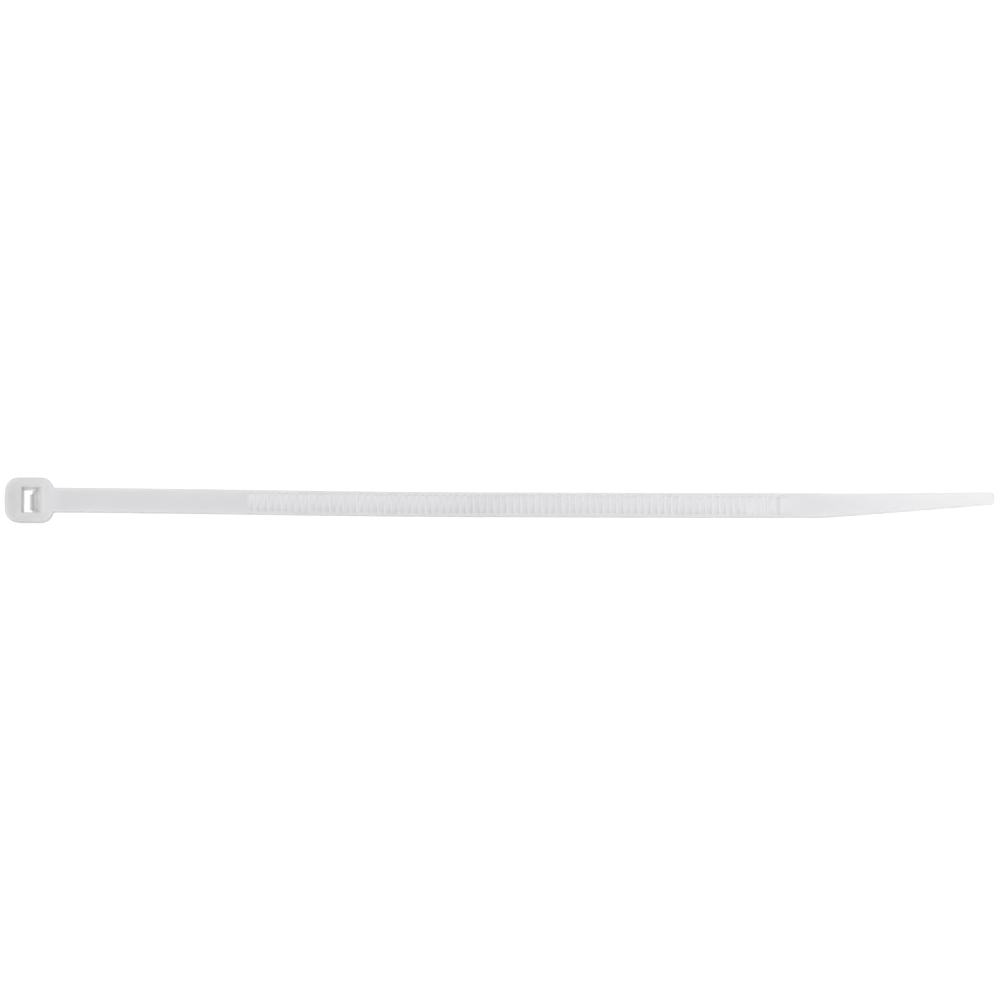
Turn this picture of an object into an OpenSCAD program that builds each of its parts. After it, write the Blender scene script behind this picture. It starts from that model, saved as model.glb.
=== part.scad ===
// Miniature cable tie, moulded in one piece: a head with a slot and a sprung pawl,
// a flat strap with a channel of ratchet teeth, and a tapered tail.
// It lies as it comes to rest, with the exit face of the head down and its teeth up.
// X runs from the head to the tip of the tail, Y across the strap and Z up.
// The origin is below the middle of the tie, on the surface that it lies on.

/* [Whole tie] */
// Length from the end of the head to the tip of the tail
tie_len = 100; // [80:1:200]

/* [Head] */
// Length of the head along the strap
head_len = 4.95; // [4.8:0.05:6]
// Width of the head across the strap
head_w = 4.55; // [4.2:0.05:6]
// Height of the head from its exit face to its entry face
head_h = 3.3; // [3:0.1:4.2]
// Radius of the upright corners of the head
head_corner = 1.1; // [0.6:0.1:1.4]
// Radius of the edges round the entry and exit faces
head_edge = 0.2; // [0.1:0.05:0.3]
// Height of the upright band below the entry face, before the draft starts
head_band = 0.6; // [0.4:0.1:0.8]
// Draft of the head's outer walls below that band, in degrees
head_draft = 5; // [0:0.5:6]
// How far the middle of the head's end stands out
end_bulge = 0.12; // [0.05:0.01:0.2]
// Radius in the middle of the head's end
end_radius = 9; // [5:1:12]

/* [Slot and pawl] */
// Wall between the end of the head and the slot
end_wall = 1.75; // [1.4:0.05:1.9]
// Length of the slot's mouth along the strap
mouth_len = 1.65; // [1.5:0.05:1.75]
// Chamfer round the mouth of the slot
mouth_chamfer = 0.1; // [0.05:0.01:0.12]
// Clearance between the slot and each edge of a strap in it
slot_clear = 0.05; // [0.04:0.01:0.15]
// Wall between the room behind the pawl and the strap
back_wall = 0.8; // [0.7:0.05:0.9]
// Thickness of the roof that the pawl is hinged on
roof_t = 0.65; // [0.5:0.05:0.8]
// Depth of the pawl's slope below the entry face, where it starts
pawl_lead = 0.13; // [0.13:0.01:0.3]
// Gap between the end of the pawl and the far wall of the slot
pawl_gap = 0.58; // [0.45:0.01:0.7]
// Height of the end of the pawl above the exit face
pawl_lift = 0.7; // [0.5:0.05:0.9]
// Thickness of the pawl with its teeth
pawl_t = 0.62; // [0.5:0.02:0.7]
// Clearance between the pawl and each side wall of the slot
pawl_clear = 0.12; // [0.06:0.01:0.2]
// Teeth on the pawl
pawl_teeth = 3; // [2:1:3]
// Height of the pawl's teeth
pawl_tooth_h = 0.26; // [0.15:0.01:0.3]
// Clearance between the pawl's teeth and each rail of the strap
pawl_tooth_clear = 0.07; // [0.04:0.01:0.15]

/* [Strap] */
// Width of the strap
strap_w = 2.45; // [2.3:0.05:2.6]
// Thickness of the strap
strap_t = 1; // [0.8:0.05:1.2]
// Sideways bow of the strap over its whole length
strap_bow = 0.3; // [0:0.02:1]
// How much more of the bow lies near the head: 1 spreads it evenly
bow_power = 1.5; // [1:0.1:2.5]
// Length over which the strap comes down to the surface
drop_len = 42; // [30:1:44]
// Radius under the strap where it leaves the head
root_fillet = 0.5; // [0.3:0.05:0.7]

/* [Teeth] */
// Smooth length of strap between the head and the first tooth
teeth_start = 19.4; // [10:0.1:22]
// Smooth length of strap between the last tooth and the tail
teeth_stop = 3.1; // [2.5:0.1:8]
// Distance from one tooth to the next
tooth_pitch = 0.693; // [0.6:0.001:0.8]
// Depth of the teeth
tooth_depth = 0.3; // [0.26:0.01:0.4]
// Flat land on the crest of a tooth
tooth_land = 0.1; // [0.06:0.01:0.15]
// Lean of a tooth's steep face over its depth
tooth_lean = 0.06; // [0.03:0.01:0.1]
// Length of the ramp that ends the channel after the last tooth
runout_len = 1.8; // [1.2:0.1:2.5]
// Width of the smooth rail at each side of the teeth
rail_w = 0.35; // [0.3:0.01:0.45]

/* [Tail] */
// Length of the tapered tail
tail_len = 18; // [14:0.5:24]
// Thickness of the tail at its tip
tip_t = 0.7; // [0.5:0.05:0.8]
// Width of the tail at its tip
tip_w = 1.2; // [1.1:0.05:1.6]
// Radius of the corners of the tip
tip_corner = 0.3; // [0.2:0.05:0.5]
// Sideways turn of the tail, in degrees
tail_turn = 2.3; // [0:0.1:4]
// Length over which the tail turns
turn_len = 3; // [1:0.5:6]
// Height that the tip curls up from the surface
tip_curl = 0.8; // [0:0.1:1.5]

/* [Hidden] */
nylon = [0.86, 0.855, 0.865];

// Straight steps in a round corner, in a round edge, along the strap and along the tail
corner_steps = 8;
edge_steps = 4;
strap_steps = 36;
tail_steps = 12;
// How far a cut runs past the face that it opens
past = 0.5;
// Height of one slice of the head
slice = 0.01;
// How many times its own depth a gap between teeth is drawn, to open it above the strap
over = 1.3;

slot_w = strap_w + 2 * slot_clear;
mouth_x = end_wall + mouth_len;
room_x = head_len - back_wall;
roof_z = head_h - roof_t;
end_slope = atan(2 * end_bulge / head_w);
end_over = end_radius * (1 / cos(end_slope) - 1);
edge_depths = [for (i = [0 : edge_steps - 1]) head_edge * (1 - cos(90 * i / edge_steps))];

pawl_w = slot_w - 2 * pawl_clear;
channel_w = strap_w - 2 * rail_w;
pawl_tooth_w = channel_w - 2 * pawl_tooth_clear;
pawl_top = [mouth_x, head_h - pawl_lead];
pawl_tip = [end_wall + pawl_gap, pawl_lift];
pawl_dir = unit(pawl_tip - pawl_top);
pawl_back = [-pawl_dir.y, pawl_dir.x];

strap_x = head_len - back_wall / 2;
tail_x = tie_len - tail_len;
strap_run = tail_x - head_len;
drop_h = head_h - strap_t;
tooth_run = tooth_pitch - tooth_land - tooth_lean;
tooth_count = floor((strap_run - teeth_start - teeth_stop) / tooth_pitch);
teeth_x = head_len + teeth_start;
last_root_x = teeth_x + tooth_count * tooth_pitch - tooth_lean;

function unit(v) = v / norm(v);

// Round corner of an outline at the point at, between the points before and after it
function corner(before, at, after, radius) =
    let (
        a = unit(before - at),
        b = unit(after - at),
        half = acos(a * b) / 2,
        middle = at + unit(a + b) * radius / sin(half),
        spoke = at + a * radius / tan(half) - middle,
        turn = (180 - 2 * half) * sign(cross(at - before, after - at))
    )
    [
        for (i = [0 : corner_steps])
            let (angle = turn * i / corner_steps)
            middle + [
                spoke.x * cos(angle) - spoke.y * sin(angle),
                spoke.x * sin(angle) + spoke.y * cos(angle)
            ]
    ];

// Outline with each of its corners made round, by the radius of the same place in radii
function rounded(points, radii) =
    let (last = len(points) - 1)
    [
        for (i = [0 : last])
            each corner(
                points[i == 0 ? last : i - 1],
                points[i],
                points[i == last ? 0 : i + 1],
                radii[i]
            )
    ];

// Evenly spaced places between two ends
function places(start, end, steps) = [for (i = [0 : steps]) start + (end - start) * i / steps];

function reversed(list) = [for (i = [len(list) - 1 : -1 : 0]) list[i]];

// Sideways place of the strap's centreline: a slight bow, and then the turn of the tail
function bow_y(x) =
    let (share = max(0, min(1, (x - head_len) / strap_run)))
    -strap_bow * (1 - pow(1 - share, bow_power));

function turn_y(x) =
    let (past_turn = x - tail_x)
    past_turn <= 0 ? 0
    : past_turn < turn_len ? tan(tail_turn) * pow(past_turn, 2) / (2 * turn_len)
    : tan(tail_turn) * (past_turn - turn_len / 2);

function centre_y(x) = bow_y(x) + turn_y(x);

// Share of the tail that lies before a place
function tail_share(x) = max(0, min(1, (x - tail_x) / tail_len));

function half_w(x) = (strap_w + (tip_w - strap_w) * tail_share(x)) / 2;

function thick(x) = strap_t + (tip_t - strap_t) * tail_share(x);

// Height of the strap's smooth side: it comes down from the head, lies flat and curls up
function under_z(x) =
    let (share = max(0, min(1, (x - head_len) / drop_len)))
    drop_h * pow(1 - share, 2) * (1 + 2 * share) + tip_curl * pow(tail_share(x), 2);

function top_z(x) = under_z(x) + thick(x);

// Extrudes an outline that is drawn in X and Z, to equal widths on both sides of Y
module across(width) {
    translate([0, width / 2, 0])
        rotate([90, 0, 0])
            linear_extrude(height = width)
                children();
}

// Extrudes an outline that is drawn in Y and Z, along the head
module along_head() {
    rotate([90, 0, 90])
        linear_extrude(height = head_len)
            children();
}

// How far the head's wall is drawn in at a height, by the draft and by the round edges
function edge_inset(depth) =
    depth >= head_edge ? 0 : head_edge - sqrt(pow(head_edge, 2) - pow(head_edge - depth, 2));

function draft_inset(z) = max(0, head_h - head_band - z) * tan(head_draft);

function head_inset(z) = draft_inset(z) + edge_inset(z);

// Outline of the head seen from above, drawn in all round from its widest
module head_outline(inset) {
    radius = head_corner - inset;
    side = head_w / 2 - inset;
    far = head_len - inset;
    polygon(rounded(
        [
            [inset - end_over, 0],
            [inset + end_bulge - end_over, -side],
            [far, -side],
            [far, side],
            [inset + end_bulge - end_over, side]
        ],
        [end_radius, radius, radius, radius, radius]
    ));
}

// One level of the head, from z upwards
module head_slice(z, height) {
    translate([0, 0, z])
        linear_extrude(height = height)
            head_outline(head_inset(z));
}

module head_block() {
    hull() {
        for (depth = edge_depths)
            head_slice(depth, slice);
        head_slice(head_edge, slice);
        head_slice(head_h - head_band, head_band - head_edge);
        for (depth = edge_depths)
            translate([0, 0, head_h - depth - slice])
                linear_extrude(height = slice)
                    head_outline(edge_inset(depth));
    }
}

// Side view of the slot: its mouth, and the room that the pawl springs back into
module slot_side() {
    flare = mouth_chamfer + past;
    polygon([
        [end_wall, -past],
        [end_wall, head_h - mouth_chamfer],
        [end_wall - flare, head_h + past],
        [mouth_x + flare, head_h + past],
        [mouth_x, head_h - mouth_chamfer],
        [mouth_x, roof_z],
        [room_x, roof_z],
        [room_x, -past]
    ]);
}

module slot_front() {
    side = slot_w / 2;
    flare = mouth_chamfer + past;
    polygon([
        [-side, -past],
        [side, -past],
        [side, head_h - mouth_chamfer],
        [side + flare, head_h + past],
        [-side - flare, head_h + past],
        [-side, head_h - mouth_chamfer]
    ]);
}

module slot() {
    intersection() {
        across(head_w)
            slot_side();
        along_head()
            slot_front();
    }
}

// Place on the line of the pawl's crests, counted in tooth pitches from its tip
function pawl_crest(count) = pawl_tip - pawl_dir * tooth_pitch * count;

// The pawl's plain tongue, as wide as the slot allows, and behind the feet of its teeth
module pawl_tongue() {
    shoulder = pawl_crest(pawl_teeth - 1) + pawl_back * pawl_tooth_h;
    front = pawl_tip + pawl_back * pawl_tooth_h;
    back = pawl_tip + pawl_back * pawl_t;
    hinge_z = roof_z + roof_t / 4;
    hinge_x = back.x - (hinge_z - back.y) * pawl_dir.x / -pawl_dir.y;
    polygon([pawl_top, shoulder, front, back, [hinge_x, hinge_z], [hinge_x, pawl_top.y]]);
}

// The pawl's teeth: steep faces look at the exit face, and slopes at the mouth
module pawl_saw() {
    back = pawl_tip + pawl_back * pawl_t;
    polygon([
        pawl_top,
        for (i = [pawl_teeth - 1 : -1 : 1])
            each [pawl_crest(i), pawl_crest(i) + pawl_back * pawl_tooth_h],
        pawl_tip,
        back,
        pawl_top + pawl_back * pawl_tooth_h
    ]);
}

module pawl() {
    color(nylon) {
        across(pawl_w)
            pawl_tongue();
        across(pawl_tooth_w)
            pawl_saw();
    }
}

module head() {
    color(nylon) {
        difference() {
            head_block();
            slot();
        }
        pawl();
    }
}

module strap_side() {
    stations = concat(
        places(head_len + root_fillet, tail_x, strap_steps),
        places(tail_x + tail_len / tail_steps, tie_len, tail_steps - 1)
    );
    polygon(concat(
        [[strap_x, head_h], [strap_x, drop_h - root_fillet]],
        corner(
            [head_len - draft_inset(0), 0],
            [head_len - draft_inset(drop_h), drop_h],
            [head_len + drop_h, drop_h],
            root_fillet
        ),
        [for (x = stations) if (x > head_len + root_fillet) [x, under_z(x)]],
        reversed([for (x = stations) [x, top_z(x)]]),
        [[head_len, head_h]]
    ));
}

// Plan of a band along the strap's centreline
module strap_plan() {
    stations = concat(
        places(strap_x, tail_x, strap_steps),
        places(tail_x + tail_len / tail_steps, tie_len, tail_steps - 1)
    );
    inner = [for (x = stations) if (x < tie_len) x];
    ends = [for (side = [-1, 1]) [tie_len, centre_y(tie_len) + side * half_w(tie_len)]];
    last_x = inner[len(inner) - 1];
    polygon(concat(
        [for (x = inner) [x, centre_y(x) - half_w(x)]],
        corner([last_x, centre_y(last_x) - half_w(last_x)], ends[0], ends[1], tip_corner),
        corner(ends[0], ends[1], [last_x, centre_y(last_x) + half_w(last_x)], tip_corner),
        reversed([for (x = inner) [x, centre_y(x) + half_w(x)]])
    ));
}

module strap_blank() {
    intersection() {
        across(head_w)
            strap_side();
        linear_extrude(height = head_h)
            strap_plan();
    }
}

// Gap before a steep face whose foot is at root_x, cut from above the strap's surface
module tooth_gap(root_x) {
    root = [root_x, top_z(root_x) - tooth_depth];
    ramp = [-tooth_run, top_z(root_x - tooth_run) - root.y];
    face = [tooth_lean, top_z(root_x + tooth_lean) - root.y];
    polygon([root, root + over * face, root + over * ramp]);
}

module runout() {
    root = [last_root_x, top_z(last_root_x) - tooth_depth];
    ramp = [-tooth_run, tooth_depth];
    slope = [runout_len, tooth_depth];
    polygon([root, root + over * slope, root + over * ramp]);
}

module channel_plan() {
    stations = places(teeth_x - past, last_root_x + 2 * runout_len, strap_steps);
    polygon(concat(
        [for (x = stations) [x, centre_y(x) - channel_w / 2]],
        reversed([for (x = stations) [x, centre_y(x) + channel_w / 2]])
    ));
}

module teeth() {
    intersection() {
        across(head_w)
            union() {
                for (i = [1 : tooth_count - 1])
                    tooth_gap(teeth_x + i * tooth_pitch - tooth_lean);
                runout();
            }
        linear_extrude(height = head_h + past)
            channel_plan();
    }
}

module strap() {
    color(nylon)
        difference() {
            strap_blank();
            teeth();
        }
}

module cable_tie() {
    translate([-tie_len / 2, 0, 0]) {
        head();
        strap();
    }
}

cable_tie();
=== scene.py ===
"""Looks of a miniature cable tie, moulded in one piece from natural nylon.

The tie is drawn in millimetres: X runs from the end of its head to the tip of its tail, Y
across the strap, and Z up from the exit face of the head. The finished mesh is then turned
into metres and moved to its place in the frame.
"""

import logging
import math
from collections.abc import Callable
from dataclasses import dataclass, field
from enum import Enum

import bmesh
import bpy
from mathutils import Matrix, Vector


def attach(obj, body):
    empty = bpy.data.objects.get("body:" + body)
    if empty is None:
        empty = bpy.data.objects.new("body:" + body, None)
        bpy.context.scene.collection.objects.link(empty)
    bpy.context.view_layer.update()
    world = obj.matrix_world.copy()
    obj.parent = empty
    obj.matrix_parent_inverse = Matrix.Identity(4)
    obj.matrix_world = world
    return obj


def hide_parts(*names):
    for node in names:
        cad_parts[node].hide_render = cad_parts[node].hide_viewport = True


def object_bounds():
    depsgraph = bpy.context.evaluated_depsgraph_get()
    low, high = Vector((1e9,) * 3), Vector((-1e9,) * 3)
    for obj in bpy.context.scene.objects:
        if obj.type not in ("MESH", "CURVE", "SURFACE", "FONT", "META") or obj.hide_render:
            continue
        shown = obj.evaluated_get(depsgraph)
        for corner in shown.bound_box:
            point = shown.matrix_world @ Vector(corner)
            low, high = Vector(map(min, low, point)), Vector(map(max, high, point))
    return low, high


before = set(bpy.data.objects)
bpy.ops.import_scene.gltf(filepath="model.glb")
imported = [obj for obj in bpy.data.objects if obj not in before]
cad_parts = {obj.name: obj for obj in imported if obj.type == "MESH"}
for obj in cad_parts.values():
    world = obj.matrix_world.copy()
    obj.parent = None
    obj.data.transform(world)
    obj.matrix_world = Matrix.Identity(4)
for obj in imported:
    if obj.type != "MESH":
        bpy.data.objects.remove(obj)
CAD_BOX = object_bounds()
NODE = "cable_tie"
MM = 0.001
QUARTER_TURN = 90

# Points that are closer than this, in millimetres, are one point.
WELD = 1e-4
# A face is level when its normal points up or down by more than this share.
LEVEL = 0.99
# A face is a wall when its normal points up or down by less than this share.
STEEP = 0.5

Point = tuple[float, float, float]
Colour = tuple[float, float, float]
Layer = bmesh.types.BMLayerItem
Socket = bpy.types.NodeSocket

log = logging.getLogger("cable_tie")


class Joining(Enum):
    """How a solid is joined to the moulding."""

    ADD = "UNION"
    CUT = "DIFFERENCE"


def upright(edge: bmesh.types.BMEdge) -> bool:
    """Says if an edge runs more up than along."""
    run = edge.verts[1].co - edge.verts[0].co
    return abs(run.z) > abs(run.x) + abs(run.y)


def levels(edge: bmesh.types.BMEdge) -> list[float]:
    """Gives 1 for each level face at an edge and 0 for each upright one, or a share."""
    return [abs(face.normal.z) for face in edge.link_faces]


def steepness(normal: Vector) -> float:
    """Gives 0 for skin that is level or leans up to half way, and 1 for an upright wall."""
    half_way = math.cos(math.radians(QUARTER_TURN / 2))
    return max(0.0, 1 - abs(normal.z) / half_way)


def score(bm: bmesh.types.BMesh, place: Point, normal: Point) -> None:
    """Cuts edges into a mesh where a plane crosses it, and keeps both sides.

    Args:
        bm: The mesh.
        place: A point of the plane.
        normal: Direction that the plane faces.
    """
    every = bm.verts[:] + bm.edges[:] + bm.faces[:]
    bmesh.ops.bisect_plane(bm, geom=every, plane_co=place, plane_no=normal)


def round_edges(
    bm: bmesh.types.BMesh, edges: list[bmesh.types.BMEdge], radius: float, steps: int
) -> None:
    """Rounds edges of a mesh.

    Args:
        bm: The mesh that holds the edges.
        edges: The edges to round.
        radius: Distance that the rounding reaches from each edge, in millimetres.
        steps: Faces across the rounding.
    """
    bmesh.ops.bevel(
        bm, geom=edges, offset=radius, offset_type="OFFSET", segments=steps,
        profile=0.5, affect="EDGES", material=-1, clamp_overlap=True,
    )


def prism(outline: list[Vector], width: float) -> bmesh.types.BMesh:
    """Makes a solid from an outline, of equal widths on both sides of the centreline.

    Args:
        outline: Corners of the outline, in X and Z.
        width: Width of the solid across the strap.

    Returns:
        The solid's mesh.
    """
    bm = bmesh.new()
    corners = [bm.verts.new((x, -width / 2, z)) for x, z in outline]
    near = bm.faces.new(corners)
    grown = bmesh.ops.extrude_face_region(bm, geom=[near])["geom"]
    moved = [part for part in grown if isinstance(part, bmesh.types.BMVert)]
    bmesh.ops.translate(bm, vec=(0, width, 0), verts=moved)
    bmesh.ops.recalc_face_normals(bm, faces=bm.faces[:])
    return bm


def solid(name: str, bm: bmesh.types.BMesh) -> bpy.types.Object:
    """Makes an object of a mesh, and frees the mesh.

    Args:
        name: Name of the object.
        bm: The mesh.

    Returns:
        The object, in the scene and at the origin.
    """
    mesh = bpy.data.meshes.new(name)
    bm.to_mesh(mesh)
    bm.free()
    thing = bpy.data.objects.new(name, mesh)
    bpy.context.scene.collection.objects.link(thing)
    return thing


def join(base: bpy.types.Object, other: bpy.types.Object, joining: Joining) -> None:
    """Adds a solid to the base or cuts it out of it, and takes the solid away.

    Args:
        base: The object that stays.
        other: The solid that is added or cut out.
        joining: Which of the two is done.
    """
    step = base.modifiers.new("join", "BOOLEAN")
    step.operation = joining.value
    step.solver = "EXACT"
    step.object = other
    graph = bpy.context.evaluated_depsgraph_get()
    mesh = bpy.data.meshes.new_from_object(base.evaluated_get(graph))
    base.modifiers.remove(step)
    base.data = mesh
    bpy.data.objects.remove(other)


def reshape(thing: bpy.types.Object, change: Callable[[bmesh.types.BMesh], None]) -> None:
    """Runs a change on an object's mesh.

    Args:
        thing: The object whose mesh is changed.
        change: Function that is given the mesh.
    """
    bm = bmesh.new()
    bm.from_mesh(thing.data)
    change(bm)
    bm.to_mesh(thing.data)
    bm.free()


@dataclass(frozen=True)
class Fit:
    """Sizes that the strap, the slot and the pawl share, in millimetres.

    Attributes:
        strap_w: Width of the strap.
        strap_t: Thickness of the strap.
        rail: Width of the smooth rail at each side of the teeth.
        pitch: Distance from tooth to tooth.
        slot_gap: Clearance between the strap and the slot at each edge.
        tooth_gap: Clearance between the pawl's teeth and each rail.
    """

    strap_w: float = 2.45
    strap_t: float = 1.0
    rail: float = 0.35
    pitch: float = 0.693
    slot_gap: float = 0.05
    tooth_gap: float = 0.07

    @property
    def slot_w(self) -> float:
        """Width of the slot."""
        return self.strap_w + 2 * self.slot_gap

    @property
    def channel(self) -> float:
        """Half of the width of the channel that holds the strap's teeth."""
        return self.strap_w / 2 - self.rail

    @property
    def tooth_w(self) -> float:
        """Width of the pawl's teeth."""
        return 2 * (self.channel - self.tooth_gap)


@dataclass
class Head:
    """The head: a block with round corners, and the slot through it.

    Attributes:
        fit: Sizes that it shares with the strap and the pawl.
        width: Width across the strap.
        height: Height from the exit face to the entry face.
        length: Length along the strap.
        corner: Reach of the rounding of the upright corners.
        corner_steps: Faces across that rounding.
        edge: Reach of the rounding round the entry face and the exit face.
        edge_steps: Faces across that rounding.
        band: Height of the upright band below the entry face.
        draft: Lean of the outer walls below the band.
        bulge: How far the middle of the end wall stands out.
        bulge_reach: Reach of the rounding of that middle.
        bulge_steps: Faces across that rounding.
        end_wall: Distance from the end of the head to the slot.
        mouth_len: Length of the mouth of the slot.
        mouth_round: Reach of the rounding of the mouth.
        exit_round: Reach of the rounding of the opening in the exit face.
        opening_steps: Faces across each of these two roundings.
        back_wall: Thickness of the wall that carries the strap.
        roof: Thickness of the roof over the room behind the pawl.
        past: How far a shape that is cut out reaches past the face that it opens.
        painted_wall_shade: Painted shade on the outer walls, as a factor for the colour.
        painted_rim_shade: Painted shade on the entry face near its outer edge.
        painted_mouth_light: Painted light on the entry face at the slot.
    """

    fit: Fit
    width: float
    height: float
    length: float = 4.95
    corner: float = 1.25
    corner_steps: int = 12
    edge: float = 0.2
    edge_steps: int = 5
    band: float = 0.6
    draft: float = math.radians(5)
    bulge: float = 0.12
    bulge_reach: float = 0.45
    bulge_steps: int = 6
    end_wall: float = 1.75
    mouth_len: float = 1.65
    mouth_round: float = 0.1
    exit_round: float = 0.06
    opening_steps: int = 3
    back_wall: float = 0.8
    roof: float = 0.65
    past: float = 0.5
    # Painted shade on the walls and near the rim, and painted light at the mouth.
    painted_wall_shade: float = 0.72
    painted_rim_shade: float = 0.9
    painted_mouth_light: float = 1.05

    @property
    def mouth_x(self) -> float:
        """Place of the edge of the mouth that the pawl hangs from."""
        return self.end_wall + self.mouth_len

    @property
    def room_x(self) -> float:
        """Place of the back of the room behind the pawl."""
        return self.length - self.back_wall

    @property
    def roof_z(self) -> float:
        """Height of the roof over that room."""
        return self.height - self.roof

    @property
    def root_x(self) -> float:
        """Place in the middle of the back wall, where the strap starts."""
        return self.length - self.back_wall / 2

    def inset(self, height: float) -> float:
        """Gives how far the draft draws the outer walls in at a height."""
        return max(0.0, self.height - self.band - height) * math.tan(self.draft)

    def block(self) -> bmesh.types.BMesh:
        """Models the block: upright walls below the entry face, then a slight draft.

        Returns:
            The block's mesh, with round corners and edges.
        """
        bm = bmesh.new()
        bmesh.ops.create_cube(bm, size=1)
        bmesh.ops.scale(bm, vec=(self.length, self.width, self.height), verts=bm.verts[:])
        middle = (self.length / 2, 0, self.height / 2)
        bmesh.ops.translate(bm, vec=middle, verts=bm.verts[:])
        score(bm, (0, 0, self.height - self.band), (0, 0, 1))
        score(bm, (0, 0, 0), (0, 1, 0))
        inset = self.inset(0)
        for vert in bm.verts:
            beside = abs(vert.co.y) > WELD
            at_end = vert.co.x < self.length / 2
            if vert.co.z < WELD:
                vert.co.x += inset if at_end else -inset
                vert.co.y -= math.copysign(inset, vert.co.y) if beside else 0
            if at_end and beside:
                vert.co.x += self.bulge
        self._round_block(bm)
        self._stretch_end(bm)
        return bm

    def _round_block(self, bm: bmesh.types.BMesh) -> None:
        """Rounds the upright corners, the bulged end, and the edges of both faces.

        Args:
            bm: Mesh of the block.
        """
        corners = [e for e in bm.edges if upright(e) and abs(e.verts[0].co.y) > WELD]
        round_edges(bm, corners, self.corner, self.corner_steps)
        ridge = [
            e for e in bm.edges
            if upright(e) and abs(e.verts[0].co.y) < WELD and e.verts[0].co.x < self.length / 2
        ]
        round_edges(bm, ridge, self.bulge_reach, self.bulge_steps)
        rims = [
            e for e in bm.edges
            if len(e.link_faces) == 2 and max(levels(e)) > LEVEL and min(levels(e)) < STEEP
        ]
        round_edges(bm, rims, self.edge, self.edge_steps)

    def _stretch_end(self, bm: bmesh.types.BMesh) -> None:
        """Stretches the end out again by what the rounding took off its middle.

        Args:
            bm: Mesh of the block.
        """
        lost = min(vert.co.x for vert in bm.verts)
        for vert in bm.verts:
            if vert.co.x < self.corner:
                vert.co.x -= lost * (1 - vert.co.x / self.corner)

    def slot(self) -> bmesh.types.BMesh:
        """Models the space that is cut out for the slot and the room behind the pawl.

        Returns:
            The mesh of that space, which reaches past both faces.
        """
        outline = [
            Vector((self.end_wall, -self.past)),
            Vector((self.room_x, -self.past)),
            Vector((self.room_x, self.roof_z)),
            Vector((self.mouth_x, self.roof_z)),
            Vector((self.mouth_x, self.height + self.past)),
            Vector((self.end_wall, self.height + self.past)),
        ]
        return prism(outline, self.fit.slot_w)

    def round_openings(self, bm: bmesh.types.BMesh) -> None:
        """Rounds the edges of the mouth and of the opening in the exit face.

        Args:
            bm: Mesh of the head, with the slot cut.
        """
        for height, far_x, radius in (
            (self.height, self.mouth_x, self.mouth_round),
            (0, self.room_x, self.exit_round),
        ):
            rim = [e for e in bm.edges if all(self._on_rim(v, height, far_x) for v in e.verts)]
            inner = [e for e in rim if min(levels(e)) < STEEP]
            round_edges(bm, inner, radius, self.opening_steps)

    def _on_rim(self, vert: bmesh.types.BMVert, height: float, far_x: float) -> bool:
        """Says if a vertex lies on the rim of one of the slot's two openings.

        Args:
            vert: The vertex.
            height: Height of the face that has the opening.
            far_x: Place of the end of the opening that is nearer to the strap.

        Returns:
            True on the rim or within it.
        """
        place = vert.co
        in_x = self.end_wall - WELD < place.x < far_x + WELD
        in_y = abs(place.y) < self.fit.slot_w / 2 + WELD
        return in_x and in_y and abs(place.z - height) < WELD

    def tone(self, place: Vector, normal: Vector) -> float:
        """Gives the painted light and shade of a point of the head.

        The entry face is painted lighter at the mouth and darker towards the rim, and from
        there painted shade deepens down to the outer walls. The walls of the slot, the strap
        and the strap's toothed side in line with the entry face keep the plain tone.

        Args:
            place: The point.
            normal: Direction that its skin faces.

        Returns:
            A factor for the colour of the nylon that paints light and shade.
        """
        on_entry = place.z > self.height - WELD
        out = self.share_out(place)
        level = self.painted_mouth_light + (self.painted_rim_shade - self.painted_mouth_light) * out
        in_back_wall = place.x > self.root_x
        on_strap = in_back_wall and on_entry and out == 0
        if place.x > self.length or on_strap:
            return 1.0
        if out < 0.5 and not in_back_wall:
            return level if on_entry else 1.0
        # Painted shade grows as the skin turns towards upright.
        return level + (self.painted_wall_shade - level) * steepness(normal)

    def share_out(self, place: Vector) -> float:
        """Gives how far a point lies from the slot towards the outer walls.

        Args:
            place: The point.

        Returns:
            0 in line with the slot's walls, and 1 at the outer walls and their rounding.
        """
        side_wall = (self.width - self.fit.slot_w) / 2 - self.edge
        beside = (abs(place.y) - self.fit.slot_w / 2) / side_wall
        at_end = (self.end_wall - place.x) / (self.end_wall - self.edge)
        return min(1.0, max(0.0, beside, at_end))


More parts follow.
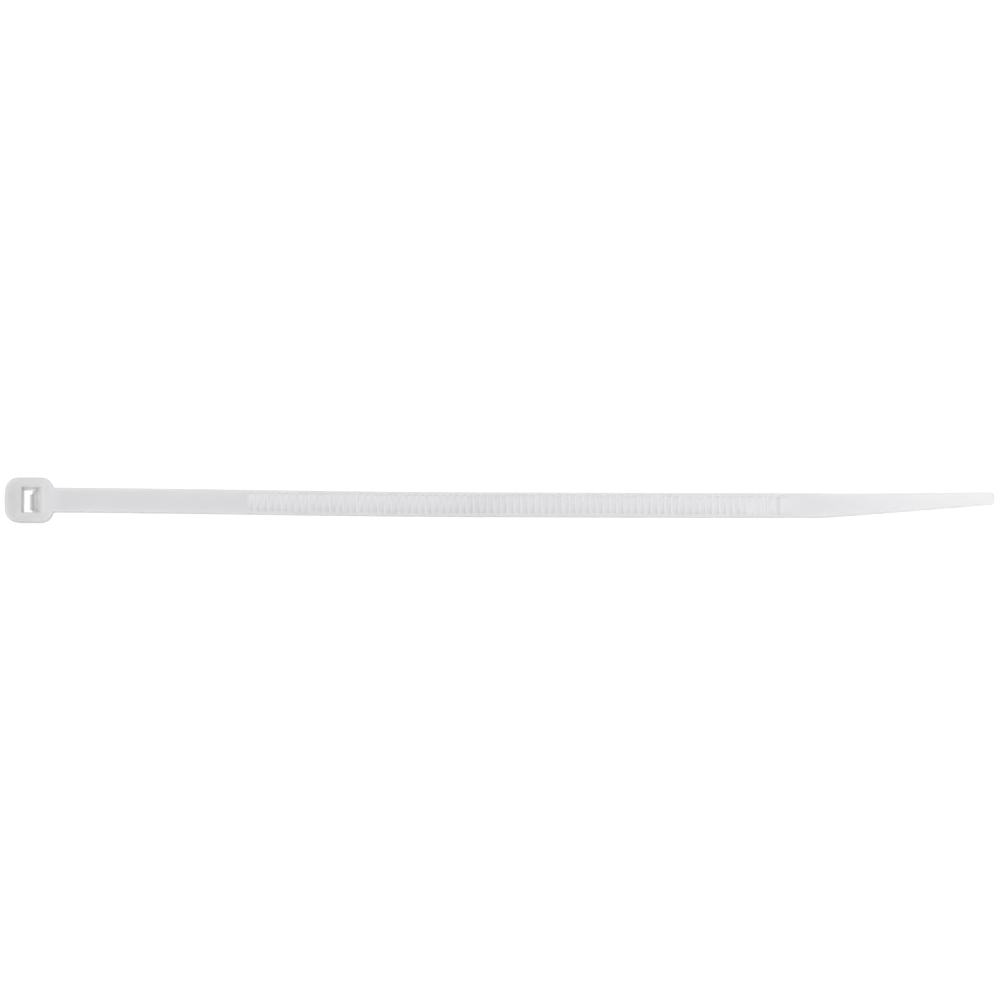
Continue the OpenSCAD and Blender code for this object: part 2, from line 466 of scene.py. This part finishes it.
@dataclass
class Pawl:
    """The sprung tongue in the slot, with teeth that match those of the strap.

    Attributes:
        fit: Sizes that it shares with the strap and the slot.
        head: The head that it is part of.
        gap: Distance from the lowest crest to the far wall of the slot.
        lift: Height of the lowest crest above the exit face.
        lead: Depth below the entry face at which the slope starts.
        thickness: Thickness from the crests to the back.
        side_gap: Distance from the tongue to the slot's wall at each side.
        teeth: Number of its teeth.
        tooth_h: Height of a tooth.
        edge: Reach of the rounding of its edges.
        edge_steps: Faces across that rounding.
        hinge_share: Share of the roof's thickness that the back goes up into.
        lead_in: Radius of the round way in over the tongue.
        lead_in_steps: Faces along that radius.
        painted_slot_light: Painted light on the tongue inside the slot.
        painted_light_depth: Depth over which that painted light reaches its full strength.
    """

    fit: Fit
    head: Head
    gap: float = 0.58
    lift: float = 0.7
    lead: float = 0.13
    thickness: float = 0.62
    side_gap: float = 0.12
    teeth: int = 3
    tooth_h: float = 0.26
    edge: float = 0.03
    edge_steps: int = 2
    hinge_share: float = 0.25
    lead_in: float = 0.8
    lead_in_steps: int = 10
    # Painted light on the tongue in the slot.
    painted_slot_light: float = 1.72
    painted_light_depth: float = 0.5

    @property
    def top(self) -> Vector:
        """Place where the pawl's slope starts, in X and Z."""
        return Vector((self.head.mouth_x, self.head.height - self.lead))

    @property
    def tip(self) -> Vector:
        """Place of the lowest crest, in X and Z."""
        return Vector((self.head.end_wall + self.gap, self.lift))

    @property
    def down(self) -> Vector:
        """Direction of the line through the crests."""
        return (self.tip - self.top).normalized()

    @property
    def back(self) -> Vector:
        """Direction from the crests to the back of the pawl."""
        return Vector((-self.down.y, self.down.x))

    def crest(self, count: float) -> Vector:
        """Gives the place of a crest, counted in pitches from the tip."""
        return self.tip - self.down * self.fit.pitch * count

    def tongue(self) -> bmesh.types.BMesh:
        """Models the plain tongue, hinged on the roof of the room behind it.

        Returns:
            The tongue's mesh.
        """
        rear = self.tip + self.back * self.thickness
        hinge_z = self.head.roof_z + self.head.roof * self.hinge_share
        hinge_x = rear.x + (hinge_z - rear.y) * self.down.x / self.down.y
        outline = [
            self.top,
            self.crest(self.teeth - 1) + self.back * self.tooth_h,
            self.tip + self.back * self.tooth_h,
            rear,
            Vector((hinge_x, hinge_z)),
            Vector((hinge_x, self.top.y)),
        ]
        return self._soft_prism(outline, self.fit.slot_w - 2 * self.side_gap)

    def saw(self) -> bmesh.types.BMesh:
        """Models the teeth, whose steep faces look at the exit face.

        Returns:
            The mesh of the teeth, which reaches into the tongue.
        """
        outline = [self.top]
        for count in range(self.teeth - 1, 0, -1):
            outline += [self.crest(count), self.crest(count) + self.back * self.tooth_h]
        outline += [self.tip, self.tip + self.back * self.thickness]
        outline += [self.top + self.back * self.tooth_h]
        return self._soft_prism(outline, self.fit.tooth_w)

    def funnel(self) -> bmesh.types.BMesh:
        """Models the space that is cut out to round the way in over the tongue.

        Returns:
            A prism whose round side runs from the entry face into the tongue's slope.
        """
        slope = math.atan2(-self.down.y, -self.down.x)
        reach = self.lead_in * math.tan(slope / 2)
        corner_x = self.top.x + self.lead / math.tan(slope)
        middle = Vector((corner_x + reach, self.head.height - self.lead_in))
        outline = []
        for i in range(self.lead_in_steps + 1):
            turn = math.radians(QUARTER_TURN) + slope * i / self.lead_in_steps
            arm = Vector((math.cos(turn), math.sin(turn)))
            outline.append(middle + arm * self.lead_in)
        over = self.head.height + self.head.past
        clear = outline[-1] - self.back * self.head.past
        outline += [clear, Vector((clear.x, over)), Vector((middle.x, over))]
        return prism(outline, self.fit.slot_w)

    def tone(self, place: Vector) -> float:
        """Gives the painted light on the tongue: light through the thin nylon, lifting the
        slot's shade.

        Args:
            place: The point.

        Returns:
            A factor that rises from 1 at the entry face to its full value in the slot.
        """
        half = self.fit.slot_w / 2 + WELD
        if place.x < self.head.mouth_x:
            half -= self.side_gap
        near = self.head.end_wall + self.gap / 2
        far = self.head.room_x + WELD
        if not near < place.x < far or abs(place.y) > half:
            return 1.0
        share = (self.top.y - place.z) / self.painted_light_depth
        # Painted light grows with the depth in the slot.
        return 1 + (self.painted_slot_light - 1) * min(1.0, max(0.0, share))

    def _soft_prism(self, outline: list[Vector], width: float) -> bmesh.types.BMesh:
        """Makes a prism whose edges are slightly round.

        Args:
            outline: Corners in X and Z.
            width: Width across the strap.

        Returns:
            The prism's mesh.
        """
        bm = prism(outline, width)
        round_edges(bm, bm.edges[:], self.edge, self.edge_steps)
        return bm


@dataclass(frozen=True)
class ToothGap:
    """One gap between teeth: its ramp starts, reaches its root, and ends at a face."""

    start: float
    root: float
    end: float


@dataclass
class Strap:
    """The strap with its teeth, and the tail that it tapers to.

    Attributes:
        fit: Sizes that it shares with the slot and the pawl.
        head: The head that it leaves.
        total_len: Length of the whole tie.
        corner: Reach of the rounding of the long edges.
        corner_steps: Faces across that rounding.
        root_fillet: Radius of the fillet under the strap at the head.
        bow: How far the strap drifts to the -Y side before the tail.
        bow_power: How much of that drift comes early; 1 spreads it evenly.
        drop_len: Length over which the strap comes down.
        teeth_start: Plain length between the head and the teeth.
        teeth_stop: Least distance from the root of the last gap to the tail.
        depth: Depth of the gaps between the teeth.
        land: Length of a tooth's flat crest.
        lean: How far the steep face of a tooth leans.
        runout: Length of the slope that ends the last gap.
        tooth_edge: Reach of the rounding of the crests and roots.
        tooth_steps: Faces across that rounding.
        tail_len: Length of the tail.
        tip_t: Thickness of the tip.
        tip_w: Width of the tip.
        tip_corner: Radius of the tip's corners, seen from above.
        tip_edge: Radius of the tip's edges, seen from the side.
        tail_turn: Angle that the tail turns to the +Y side.
        turn_len: Length over which it turns.
        tip_curl: How far the tip curls up.
        plain_step: Distance between sections on the plain strap.
        tail_step: Distance between sections near the tail and on it.
        least_step: Sections that are closer than this are one section.
        arc_step: Degrees between sections on a round stretch.
        least_bend: Angle, in radians, from which an edge is a crest or a root.
        painted_teeth_light: Painted light on the skin that the teeth stand on.
        painted_root_light: Painted light that the roots of the teeth add to it where the strap
            lies flat.
        painted_hung_root_light: Painted light that they add to it where the strap hangs clear.
        painted_side_shade: Painted shade on the two sides.
    """

    fit: Fit
    head: Head
    total_len: float
    corner: float = 0.1
    corner_steps: int = 4
    root_fillet: float = 0.5
    bow: float = 0.3
    bow_power: float = 1.5
    drop_len: float = 42.0
    teeth_start: float = 19.4
    teeth_stop: float = 3.1
    depth: float = 0.3
    land: float = 0.1
    lean: float = 0.06
    runout: float = 1.8
    tooth_edge: float = 0.02
    tooth_steps: int = 2
    tail_len: float = 18.0
    tip_t: float = 0.7
    tip_w: float = 1.2
    tip_corner: float = 0.3
    tip_edge: float = 0.12
    tail_turn: float = math.radians(2.3)
    turn_len: float = 3.0
    tip_curl: float = 0.8
    plain_step: float = 1.2
    tail_step: float = 0.6
    least_step: float = 0.004
    arc_step: int = 15
    least_bend: float = 0.2
    # Painted light on the teeth and their roots, and painted shade on the two sides.
    painted_teeth_light: float = 1.1
    painted_root_light: float = 0.035
    painted_hung_root_light: float = 0.12
    painted_side_shade: float = 0.78
    _gaps: list[ToothGap] = field(default_factory=list, init=False)

    def __post_init__(self) -> None:
        """Places the gaps between the teeth."""
        run = self.fit.pitch - self.land - self.lean
        first = self.head.length + self.teeth_start
        last = self.tail_x - self.teeth_stop
        count = math.floor((last - first) / self.fit.pitch)
        for i in range(1, count + 1):
            root = first + i * self.fit.pitch - self.lean
            end = root + (self.lean if i < count else self.runout)
            self._gaps.append(ToothGap(root - run, root, end))

    @property
    def tail_x(self) -> float:
        """Place where the tail starts."""
        return self.total_len - self.tail_len

    @property
    def drop_h(self) -> float:
        """Height of the smooth side of the strap where it leaves the head."""
        return self.head.height - self.fit.strap_t

    @property
    def wall_x(self) -> float:
        """Place of the head's wall at that height."""
        return self.head.length - self.head.inset(self.drop_h)

    def tail_share(self, x: float) -> float:
        """Gives the share of the tail that lies before a place."""
        return min(1.0, max(0.0, (x - self.tail_x) / self.tail_len))

    def tip_inset(self, x: float, radius: float) -> float:
        """Gives how far a round corner at the tip draws the side in at a place."""
        reach = max(0.0, x - (self.total_len - radius))
        return radius - math.sqrt(max(0.0, radius**2 - reach**2))

    def centre_y(self, x: float) -> float:
        """Gives the sideways place of the centreline: a bow, and then the tail's turn.

        Args:
            x: Place along the strap.

        Returns:
            Its Y.
        """
        run = self.tail_x - self.head.length
        share = min(1.0, max(0.0, (x - self.head.length) / run))
        bow = -self.bow * (1 - (1 - share) ** self.bow_power)
        turned = max(0.0, x - self.tail_x)
        if turned < self.turn_len:
            return bow + math.tan(self.tail_turn) * turned**2 / (2 * self.turn_len)
        return bow + math.tan(self.tail_turn) * (turned - self.turn_len / 2)

    def half_width(self, x: float) -> float:
        """Gives half of the width at a place."""
        width = self.fit.strap_w + (self.tip_w - self.fit.strap_w) * self.tail_share(x)
        return width / 2 - self.tip_inset(x, self.tip_corner)

    def under_z(self, x: float) -> float:
        """Gives the height of the smooth side: it comes down, lies flat and curls up.

        Args:
            x: Place along the strap.

        Returns:
            Its Z, without the fillet at the head.
        """
        share = min(1.0, max(0.0, (x - self.head.length) / self.drop_len))
        drop = self.drop_h * (1 - share) ** 2 * (1 + 2 * share)
        return drop + self.tip_curl * self.tail_share(x) ** 2

    def top_z(self, x: float) -> float:
        """Gives the height of the side with the teeth.

        Args:
            x: Place along the strap.

        Returns:
            Its Z, which is that of the entry face inside the head.
        """
        if x <= self.head.length:
            return self.head.height
        thinned = (self.tip_t - self.fit.strap_t) * self.tail_share(x)
        return self.under_z(x) + (self.fit.strap_t + thinned)

    def bottom_z(self, x: float) -> float:
        """Gives the height of the smooth side, with the fillet that carries it.

        Args:
            x: Place along the strap.

        Returns:
            Its Z.
        """
        reach = self.wall_x + self.root_fillet - x
        reach = min(self.root_fillet, max(0.0, reach))
        fillet = self.root_fillet - math.sqrt(self.root_fillet**2 - reach**2)
        return self.under_z(x) - fillet

    def stations(self) -> list[float]:
        """Chooses the places of the cross-sections, from the head to the tip.

        Returns:
            The places in order.
        """
        turns = [math.radians(turn) for turn in range(0, QUARTER_TURN + 1, self.arc_step)]
        fillet = [self.wall_x + self.root_fillet * (1 - math.cos(turn)) for turn in turns]
        marks = [mark for gap in self._gaps for mark in (gap.start, gap.end)]
        places = [self.head.root_x, *fillet, *marks, self.tail_x]
        stretches = (
            (fillet[-1], marks[0], self.plain_step),
            (marks[-1], self.tail_x, self.tail_step),
            (self.tail_x, self.total_len - self.tip_corner, self.tail_step),
        )
        for start, end, step in stretches:
            count = math.ceil((end - start) / step)
            places += [start + (end - start) * i / count for i in range(1, count)]
        for radius in (self.tip_corner, self.tip_edge):
            places += [self.total_len - radius * (1 - math.sin(turn)) for turn in turns]
        places.sort()
        kept = places[:1]
        for place in places[1:]:
            if place - kept[-1] > self.least_step:
                kept.append(place)
        return kept

    def model(self) -> bmesh.types.BMesh:
        """Models the strap by drawing its round section through the stations.

        Returns:
            The closed mesh of the strap, with its teeth.
        """
        bm = bmesh.new()
        across = bm.verts.layers.float.new("across")
        up = bm.verts.layers.float.new("up")
        self._section(bm, across, up)
        stations = self.stations()
        cap = bm.faces[:] + bm.edges[:]
        self._place(bm.verts[:], across, up, stations[0])
        for x in stations[1:]:
            grown = bmesh.ops.extrude_face_region(bm, geom=cap)["geom"]
            cap = [part for part in grown if not isinstance(part, bmesh.types.BMVert)]
            moved = [part for part in grown if isinstance(part, bmesh.types.BMVert)]
            self._place(moved, across, up, x)
        self._cut_teeth(bm, across, up)
        bmesh.ops.recalc_face_normals(bm, faces=bm.faces[:])
        return bm

    def _section(self, bm: bmesh.types.BMesh, across: Layer, up: Layer) -> None:
        """Draws the section with round corners, and marks where each vertex lies in it.

        Args:
            bm: The empty mesh of the strap.
            across: Layer for the vertices' share of the half width.
            up: Layer for their share of the thickness.
        """
        bmesh.ops.create_grid(bm, x_segments=1, y_segments=1, size=0.5)
        sides = (self.fit.strap_t, self.fit.strap_w, 1)
        bmesh.ops.scale(bm, vec=sides, verts=bm.verts[:])
        bmesh.ops.bevel(
            bm, geom=bm.verts[:], offset=self.corner, offset_type="OFFSET",
            segments=self.corner_steps, profile=0.5, affect="VERTICES", material=-1,
        )
        for side in (-1, 1):
            score(bm, (0, side * self.fit.channel, 0), (0, 1, 0))
        for vert in bm.verts:
            vert[across] = vert.co.y / (self.fit.strap_w / 2)
            vert[up] = vert.co.x / self.fit.strap_t + 0.5

    def _place(
        self, verts: list[bmesh.types.BMVert], across: Layer, up: Layer, x: float
    ) -> None:
        """Moves the vertices of a section to its place on the strap.

        Args:
            verts: The section's vertices.
            across: Layer with their share of the half width.
            up: Layer with their share of the thickness.
            x: Place of the section along the strap.
        """
        inset = self.tip_inset(x, self.tip_edge)
        top = self.top_z(x) - inset
        low = self.bottom_z(x) + inset
        for vert in verts:
            y = self.centre_y(x) + vert[across] * self.half_width(x)
            vert.co = (x, y, top - (1 - vert[up]) * (top - low))

    def _cut_teeth(self, bm: bmesh.types.BMesh, across: Layer, up: Layer) -> None:
        """Sinks each gap between the teeth into the top of the strap.

        Args:
            bm: Mesh of the plain strap.
            across: Layer with the vertices' share of the half width.
            up: Layer with their share of the thickness.
        """
        limit = self.fit.channel / (self.fit.strap_w / 2) + WELD
        faces = [
            face for face in bm.faces
            if all(v[up] > 1 - WELD and abs(v[across]) < limit for v in face.verts)
        ]
        spans = {}
        for face in faces:
            middle = face.calc_center_median().x
            gap = next((g for g in self._gaps if g.start < middle < g.end), None)
            if gap is not None:
                spans[face] = gap
        sunk = bmesh.ops.extrude_discrete_faces(bm, faces=list(spans))["faces"]
        for face, gap in zip(sunk, spans.values()):
            middle = face.calc_center_median().x
            for vert in face.verts:
                if vert.co.x > middle:
                    vert.co.x = gap.root
                    vert.co.z = self.top_z(gap.root) - self.depth
        bmesh.ops.remove_doubles(bm, verts=bm.verts[:], dist=WELD)
        ridges = [e for e in bm.edges if self._is_ridge(e, across, limit)]
        round_edges(bm, ridges, self.tooth_edge, self.tooth_steps)

    def _is_ridge(self, edge: bmesh.types.BMEdge, across: Layer, limit: float) -> bool:
        """Says if an edge is the crest or the root of a tooth.

        Args:
            edge: The edge.
            across: Layer with the vertices' share of the half width.
            limit: Share of the half width that the channel reaches to.

        Returns:
            True for an edge that runs across the channel and bends the upper skin.
        """
        first, second = edge.verts
        over = abs(first.co.x - second.co.x) < WELD
        inside = abs(first[across]) < limit and abs(second[across]) < limit
        wide = abs(first.co.y - second.co.y) > self.fit.channel
        high = first.co.z > self.bottom_z(first.co.x) + self.fit.strap_t / 2
        bent = len(edge.link_faces) == 2 and edge.calc_face_angle(0) > self.least_bend
        return over and inside and wide and high and bent

    def tone(self, place: Vector, normal: Vector) -> float:
        """Gives the painted light of a point: painted light at the teeth, painted shade on the
        sides.

        Args:
            place: The point.
            normal: Direction that its skin faces.

        Returns:
            A factor for the colour of the nylon.
        """
        if place.x < self.head.length:
            return 1.0
        off = abs(place.y - self.centre_y(place.x))
        toothed = self._gaps[0].start < place.x < self._gaps[-1].root - self.tooth_edge
        sunk = self.top_z(place.x) - place.z
        # Painted light over the teeth, more at their roots.
        if toothed and off < self.fit.channel + WELD and sunk < self.depth + self.tooth_edge:
            hung = place.x < self.head.length + self.drop_len
            more = self.painted_hung_root_light if hung else self.painted_root_light
            return self.painted_teeth_light + more * sunk / self.depth
        # Painted shade on the upright sides.
        return 1 + (self.painted_side_shade - 1) * steepness(normal)


@dataclass(frozen=True)
class Tone:
    """One stop of the colour along the tie, with its painted light."""

    place: float
    colour: Colour


@dataclass(frozen=True)
class NylonFinish:
    """Natural nylon: milky and slightly see-through, with a satin moulded skin.

    Its colour holds painted light for the floor's light through the nylon: it is lighter over
    the back wall of the head, and rises along the strap to the thin tip.

    Attributes:
        start: Place of the head's end in the frame, in metres.
        end: Place of the tail's tip in the frame, in metres.
        colour_and_painted_light: The nylon's colour with its painted light, from the one to
            the other.
        scatter_depth: How far light spreads under the skin, in metres.
        milkiness: Share of the light that goes under the skin.
        roughness: Middle of the skin's roughness.
        refraction: Index of refraction.
        sheen_level: Strength of the sheen; 0.5 is what the index alone gives.
        flow_size: Waves of the flow per metre, across it.
        flow_stretch: Waves along the flow for each one across it.
        flow_depth: Height of those waves, in metres.
        flow_detail: Finer layers of waves on them.
        grain_size: Spots of the gloss per metre.
        grain_detail: Finer layers of spots on them.
        grain_change: How far the roughness strays from its middle.
        mark: Name of the attribute that holds the painted light and shade of each point.
    """

    start: float
    end: float
    # The nylon's colour with painted light: lighter over the head's back wall and towards the
    # thin tip.
    colour_and_painted_light: tuple[Tone, ...] = (
        Tone(0.0, (0.552, 0.552, 0.555)),
        Tone(0.045, (0.612, 0.607, 0.62)),
        Tone(0.06, (0.530, 0.525, 0.539)),
        Tone(0.40, (0.532, 0.527, 0.541)),
        Tone(0.78, (0.577, 0.572, 0.588)),
        Tone(0.88, (0.612, 0.609, 0.624)),
        Tone(1.0, (0.635, 0.635, 0.638)),
    )
    scatter_depth: float = 3.0 * MM
    milkiness: float = 1.0
    roughness: float = 0.42
    refraction: float = 1.53
    sheen_level: float = 0.5
    flow_size: float = 0.7 / MM
    flow_stretch: float = 0.12
    flow_depth: float = 0.004 * MM
    flow_detail: float = 3.0
    grain_size: float = 9.0 / MM
    grain_detail: float = 2.0
    grain_change: float = 0.06
    mark: str = "tone"

    def material(self) -> bpy.types.Material:
        """Makes the material.

        Returns:
            The material, with its patterns on the object's own coordinates.
        """
        made = bpy.data.materials.new("milky_nylon_and_painted_light")
        made.use_nodes = True
        tree = made.node_tree
        shader = tree.nodes["Principled BSDF"]
        shader.inputs["IOR"].default_value = self.refraction
        shader.inputs["Specular IOR Level"].default_value = self.sheen_level
        shader.inputs["Subsurface Weight"].default_value = self.milkiness
        shader.inputs["Subsurface Radius"].default_value = (1, 1, 1)
        shader.inputs["Subsurface Scale"].default_value = self.scatter_depth
        place = tree.nodes.new("ShaderNodeTexCoord").outputs["Object"]
        tree.links.new(self._tone(tree, place), shader.inputs["Base Color"])
        tree.links.new(self._flow(tree, place), shader.inputs["Normal"])
        tree.links.new(self._grain(tree, place), shader.inputs["Roughness"])
        return made

    def _tone(self, tree: bpy.types.NodeTree, place: Socket) -> Socket:
        """Adds the colour along the tie times the painted light and shade marked on the skin.

        Args:
            tree: The material's nodes.
            place: Output with the object's own coordinates.

        Returns:
            Output with the colour.
        """
        parts = tree.nodes.new("ShaderNodeSeparateXYZ")
        tree.links.new(place, parts.inputs[0])
        share = tree.nodes.new("ShaderNodeMapRange")
        share.inputs["From Min"].default_value = self.start
        share.inputs["From Max"].default_value = self.end
        tree.links.new(parts.outputs["X"], share.inputs["Value"])
        ramp = tree.nodes.new("ShaderNodeValToRGB")
        stops = ramp.color_ramp.elements
        while len(stops) < len(self.colour_and_painted_light):
            stops.new(1)
        for stop, tone in zip(stops, self.colour_and_painted_light):
            stop.position = tone.place
            stop.color = (*tone.colour, 1)
        tree.links.new(share.outputs["Result"], ramp.inputs["Fac"])
        marked = tree.nodes.new("ShaderNodeAttribute")
        marked.attribute_name = self.mark
        toned = tree.nodes.new("ShaderNodeVectorMath")
        toned.operation = "SCALE"
        tree.links.new(ramp.outputs["Color"], toned.inputs["Vector"])
        tree.links.new(marked.outputs["Fac"], toned.inputs["Scale"])
        return toned.outputs["Vector"]

    def _flow(self, tree: bpy.types.NodeTree, place: Socket) -> Socket:
        """Adds the faint waves that the flow of the nylon leaves along the strap.

        Args:
            tree: The material's nodes.
            place: Output with the object's own coordinates.

        Returns:
            Output with the changed normal.
        """
        stretch = tree.nodes.new("ShaderNodeMapping")
        stretch.inputs["Scale"].default_value = (self.flow_stretch, 1, 1)
        tree.links.new(place, stretch.inputs["Vector"])
        waves = tree.nodes.new("ShaderNodeTexNoise")
        waves.inputs["Scale"].default_value = self.flow_size
        waves.inputs["Detail"].default_value = self.flow_detail
        tree.links.new(stretch.outputs["Vector"], waves.inputs["Vector"])
        bump = tree.nodes.new("ShaderNodeBump")
        bump.inputs["Distance"].default_value = self.flow_depth
        tree.links.new(waves.outputs["Fac"], bump.inputs["Height"])
        return bump.outputs["Normal"]

    def _grain(self, tree: bpy.types.NodeTree, place: Socket) -> Socket:
        """Adds the small changes of gloss on the moulded skin.

        Args:
            tree: The material's nodes.
            place: Output with the object's own coordinates.

        Returns:
            Output with the roughness.
        """
        grain = tree.nodes.new("ShaderNodeTexNoise")
        grain.inputs["Scale"].default_value = self.grain_size
        grain.inputs["Detail"].default_value = self.grain_detail
        tree.links.new(place, grain.inputs["Vector"])
        gloss = tree.nodes.new("ShaderNodeMapRange")
        gloss.inputs["To Min"].default_value = self.roughness - self.grain_change
        gloss.inputs["To Max"].default_value = self.roughness + self.grain_change
        tree.links.new(grain.outputs["Fac"], gloss.inputs["Value"])
        return gloss.outputs["Result"]


@dataclass(frozen=True)
class FloorFinish:
    """A matt sheet that glows in an even, pale white, like a light table.

    Attributes:
        colour: Colour of the sheet itself, kept dark so that no shadow shows on it.
        glow: Strength of the glow.
        roughness: Roughness of the sheet.
        sheen_level: Strength of its sheen.
    """

    colour: Colour = (0.1, 0.1, 0.1)
    glow: float = 0.97
    roughness: float = 0.9
    sheen_level: float = 0.1

    def material(self) -> bpy.types.Material:
        """Makes the material.

        Returns:
            The floor's material.
        """
        made = bpy.data.materials.new("pale_floor")
        made.use_nodes = True
        shader = made.node_tree.nodes["Principled BSDF"]
        shader.inputs["Base Color"].default_value = (*self.colour, 1)
        shader.inputs["Roughness"].default_value = self.roughness
        shader.inputs["Specular IOR Level"].default_value = self.sheen_level
        shader.inputs["Emission Color"].default_value = (1, 1, 1, 1)
        shader.inputs["Emission Strength"].default_value = self.glow
        return made


@dataclass
class Moulding:
    """The whole tie as one moulded piece.

    Attributes:
        head: Its head.
        pawl: Its pawl.
        strap: Its strap.
        finish: What it is made of.
        crease: Angle between two faces from which their edge is shown as sharp.
    """

    head: Head
    pawl: Pawl
    strap: Strap
    finish: NylonFinish
    crease: float = math.radians(32)

    def build(self) -> bpy.types.Object:
        """Models the tie, dresses it and puts it in the frame.

        Returns:
            The finished piece.
        """
        tie = solid("tie_moulding", self.head.block())
        join(tie, solid("slot", self.head.slot()), Joining.CUT)
        reshape(tie, self.head.round_openings)
        join(tie, solid("tongue", self.pawl.tongue()), Joining.ADD)
        join(tie, solid("funnel", self.pawl.funnel()), Joining.CUT)
        join(tie, solid("saw", self.pawl.saw()), Joining.ADD)
        join(tie, solid("strap", self.strap.model()), Joining.ADD)
        reshape(tie, self._tidy)
        reshape(tie, self._mark_tone)
        start = Matrix.Translation((CAD_BOX[0].x, 0, 0))
        tie.data.transform(start @ Matrix.Scale(MM, 4))
        self._dress(tie)
        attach(tie, "root")
        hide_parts(NODE)
        return tie

    def _tidy(self, bm: bmesh.types.BMesh) -> None:
        """Welds what the joins left doubled, and turns all faces outwards.

        Args:
            bm: Mesh of the tie.
        """
        bmesh.ops.remove_doubles(bm, verts=bm.verts[:], dist=WELD)
        bmesh.ops.dissolve_degenerate(bm, edges=bm.edges[:], dist=WELD)
        bmesh.ops.recalc_face_normals(bm, faces=bm.faces[:])
        loose = [e for e in bm.edges if len(e.link_faces) != 2]
        log.info("edges: %d, not closed: %d", len(bm.edges), len(loose))

    def _mark_tone(self, bm: bmesh.types.BMesh) -> None:
        """Marks the painted light and shade of its part of the moulding on each vertex.

        Args:
            bm: Mesh of the tie.
        """
        mark = bm.verts.layers.float.new(self.finish.mark)
        bm.normal_update()
        for vert in bm.verts:
            place, normal = vert.co, vert.normal
            # Painted light and shade of each part, multiplied together.
            tone = self.head.tone(place, normal) * self.strap.tone(place, normal)
            vert[mark] = tone * self.pawl.tone(place)

    def _dress(self, tie: bpy.types.Object) -> None:
        """Gives the piece its finish and a smooth skin between its edges.

        Args:
            tie: The piece.
        """
        tie.data.materials.clear()
        tie.data.materials.append(self.finish.material())
        tie.data.shade_smooth()
        tie.data.set_sharp_from_angle(angle=self.crease)
        skin = tie.modifiers.new("even skin", "WEIGHTED_NORMAL")
        skin.keep_sharp = True


@dataclass
class Studio:
    """A pale floor, soft light from above, and the camera that looks down, in metres.

    Attributes:
        finish: What the floor is made of.
        floor_size: Side of the floor.
        floor_gap: How far it lies below the surface that the tie touches.
        world_light: Strength of the light from all round.
        box_power: Power of the soft box, in watts.
        box_size: Side of the soft box.
        box_height: Height at which it hangs.
        key_power: Power of the small lamp, in watts.
        key_size: Side of the small lamp.
        key_place: Where it hangs.
        centre: Point that the camera looks at.
        distance: Distance from there to the camera.
        tilt: How far the camera stands off upright, towards -Y.
        half_frame: Half of the picture's width, in its pixels.
        focal_length: Distance from the lens to the picture, in the same pixels.
        clear_of_lens: Distance from which the camera sees things.
    """

    finish: FloorFinish = FloorFinish()
    floor_size: float = 4.0
    floor_gap: float = 0.02 * MM
    world_light: float = 0.3
    box_power: float = 12.0
    box_size: float = 1.8
    box_height: float = 0.9
    key_power: float = 1.6
    key_size: float = 0.15
    key_place: Point = (-0.57, 0.12, 0.82)
    centre: Point = (-0.00002, 0.00017, 0.0015)
    distance: float = 0.5297
    tilt: float = math.radians(6.5)
    half_frame: float = 500.0
    focal_length: float = 5236.0
    clear_of_lens: float = 0.01

    def floor(self) -> None:
        """Lays the floor under the tie, just below the surface that it touches."""
        bm = bmesh.new()
        bmesh.ops.create_grid(bm, x_segments=1, y_segments=1, size=self.floor_size / 2)
        bmesh.ops.translate(bm, vec=(0, 0, -self.floor_gap), verts=bm.verts[:])
        floor = solid("floor", bm)
        floor.data.materials.append(self.finish.material())

    def light(self) -> None:
        """Lights the stage evenly from all round, and a little more from above."""
        world = bpy.data.worlds.new("studio")
        world.use_nodes = True
        sky = world.node_tree.nodes["Background"]
        sky.inputs["Color"].default_value = (1, 1, 1, 1)
        sky.inputs["Strength"].default_value = self.world_light
        bpy.context.scene.world = world
        self._lamp("soft_box", self.box_power, self.box_size, (0, 0, self.box_height))
        self._lamp("key", self.key_power, self.key_size, self.key_place)

    def _lamp(self, name: str, power: float, size: float, place: Point) -> None:
        """Hangs a soft lamp that faces the tie.

        Args:
            name: Name of the lamp.
            power: Its power in watts.
            size: Side of its square, in metres.
            place: Where it hangs.
        """
        lamp = bpy.data.lights.new(name, "AREA")
        lamp.energy = power
        lamp.size = size
        hung = bpy.data.objects.new(name, lamp)
        hung.location = place
        hung.rotation_euler = (-Vector(place)).to_track_quat("-Z", "Y").to_euler()
        bpy.context.scene.collection.objects.link(hung)

    def camera(self) -> None:
        """Places the camera above the tie, seen slightly from the -Y side."""
        lens = bpy.data.cameras.new("camera")
        lens.angle = 2 * math.atan(self.half_frame / self.focal_length)
        lens.clip_start = self.clear_of_lens
        eye = bpy.data.objects.new("camera", lens)
        back = Vector((0, -math.sin(self.tilt), math.cos(self.tilt)))
        eye.location = Vector(self.centre) + back * self.distance
        eye.rotation_euler = (self.tilt, 0, 0)
        bpy.context.scene.collection.objects.link(eye)
        bpy.context.scene.camera = eye


def main() -> None:
    """Builds the tie and the studio, and reports each piece."""
    logging.basicConfig(level=logging.INFO, format="%(message)s")
    low, high = (corner / MM for corner in CAD_BOX)
    fit = Fit()
    head = Head(fit=fit, width=high.y - low.y, height=high.z - low.z)
    strap = Strap(fit=fit, head=head, total_len=high.x - low.x)
    pawl = Pawl(fit=fit, head=head)
    finish = NylonFinish(start=CAD_BOX[0].x, end=CAD_BOX[1].x)
    tie = Moulding(head, pawl, strap, finish).build()
    log.info("piece %s: %d faces", tie.name, len(tie.data.polygons))
    studio = Studio()
    studio.floor()
    studio.light()
    studio.camera()
    bpy.context.scene.view_settings.view_transform = "Standard"


if __name__ == "__main__":
    main()
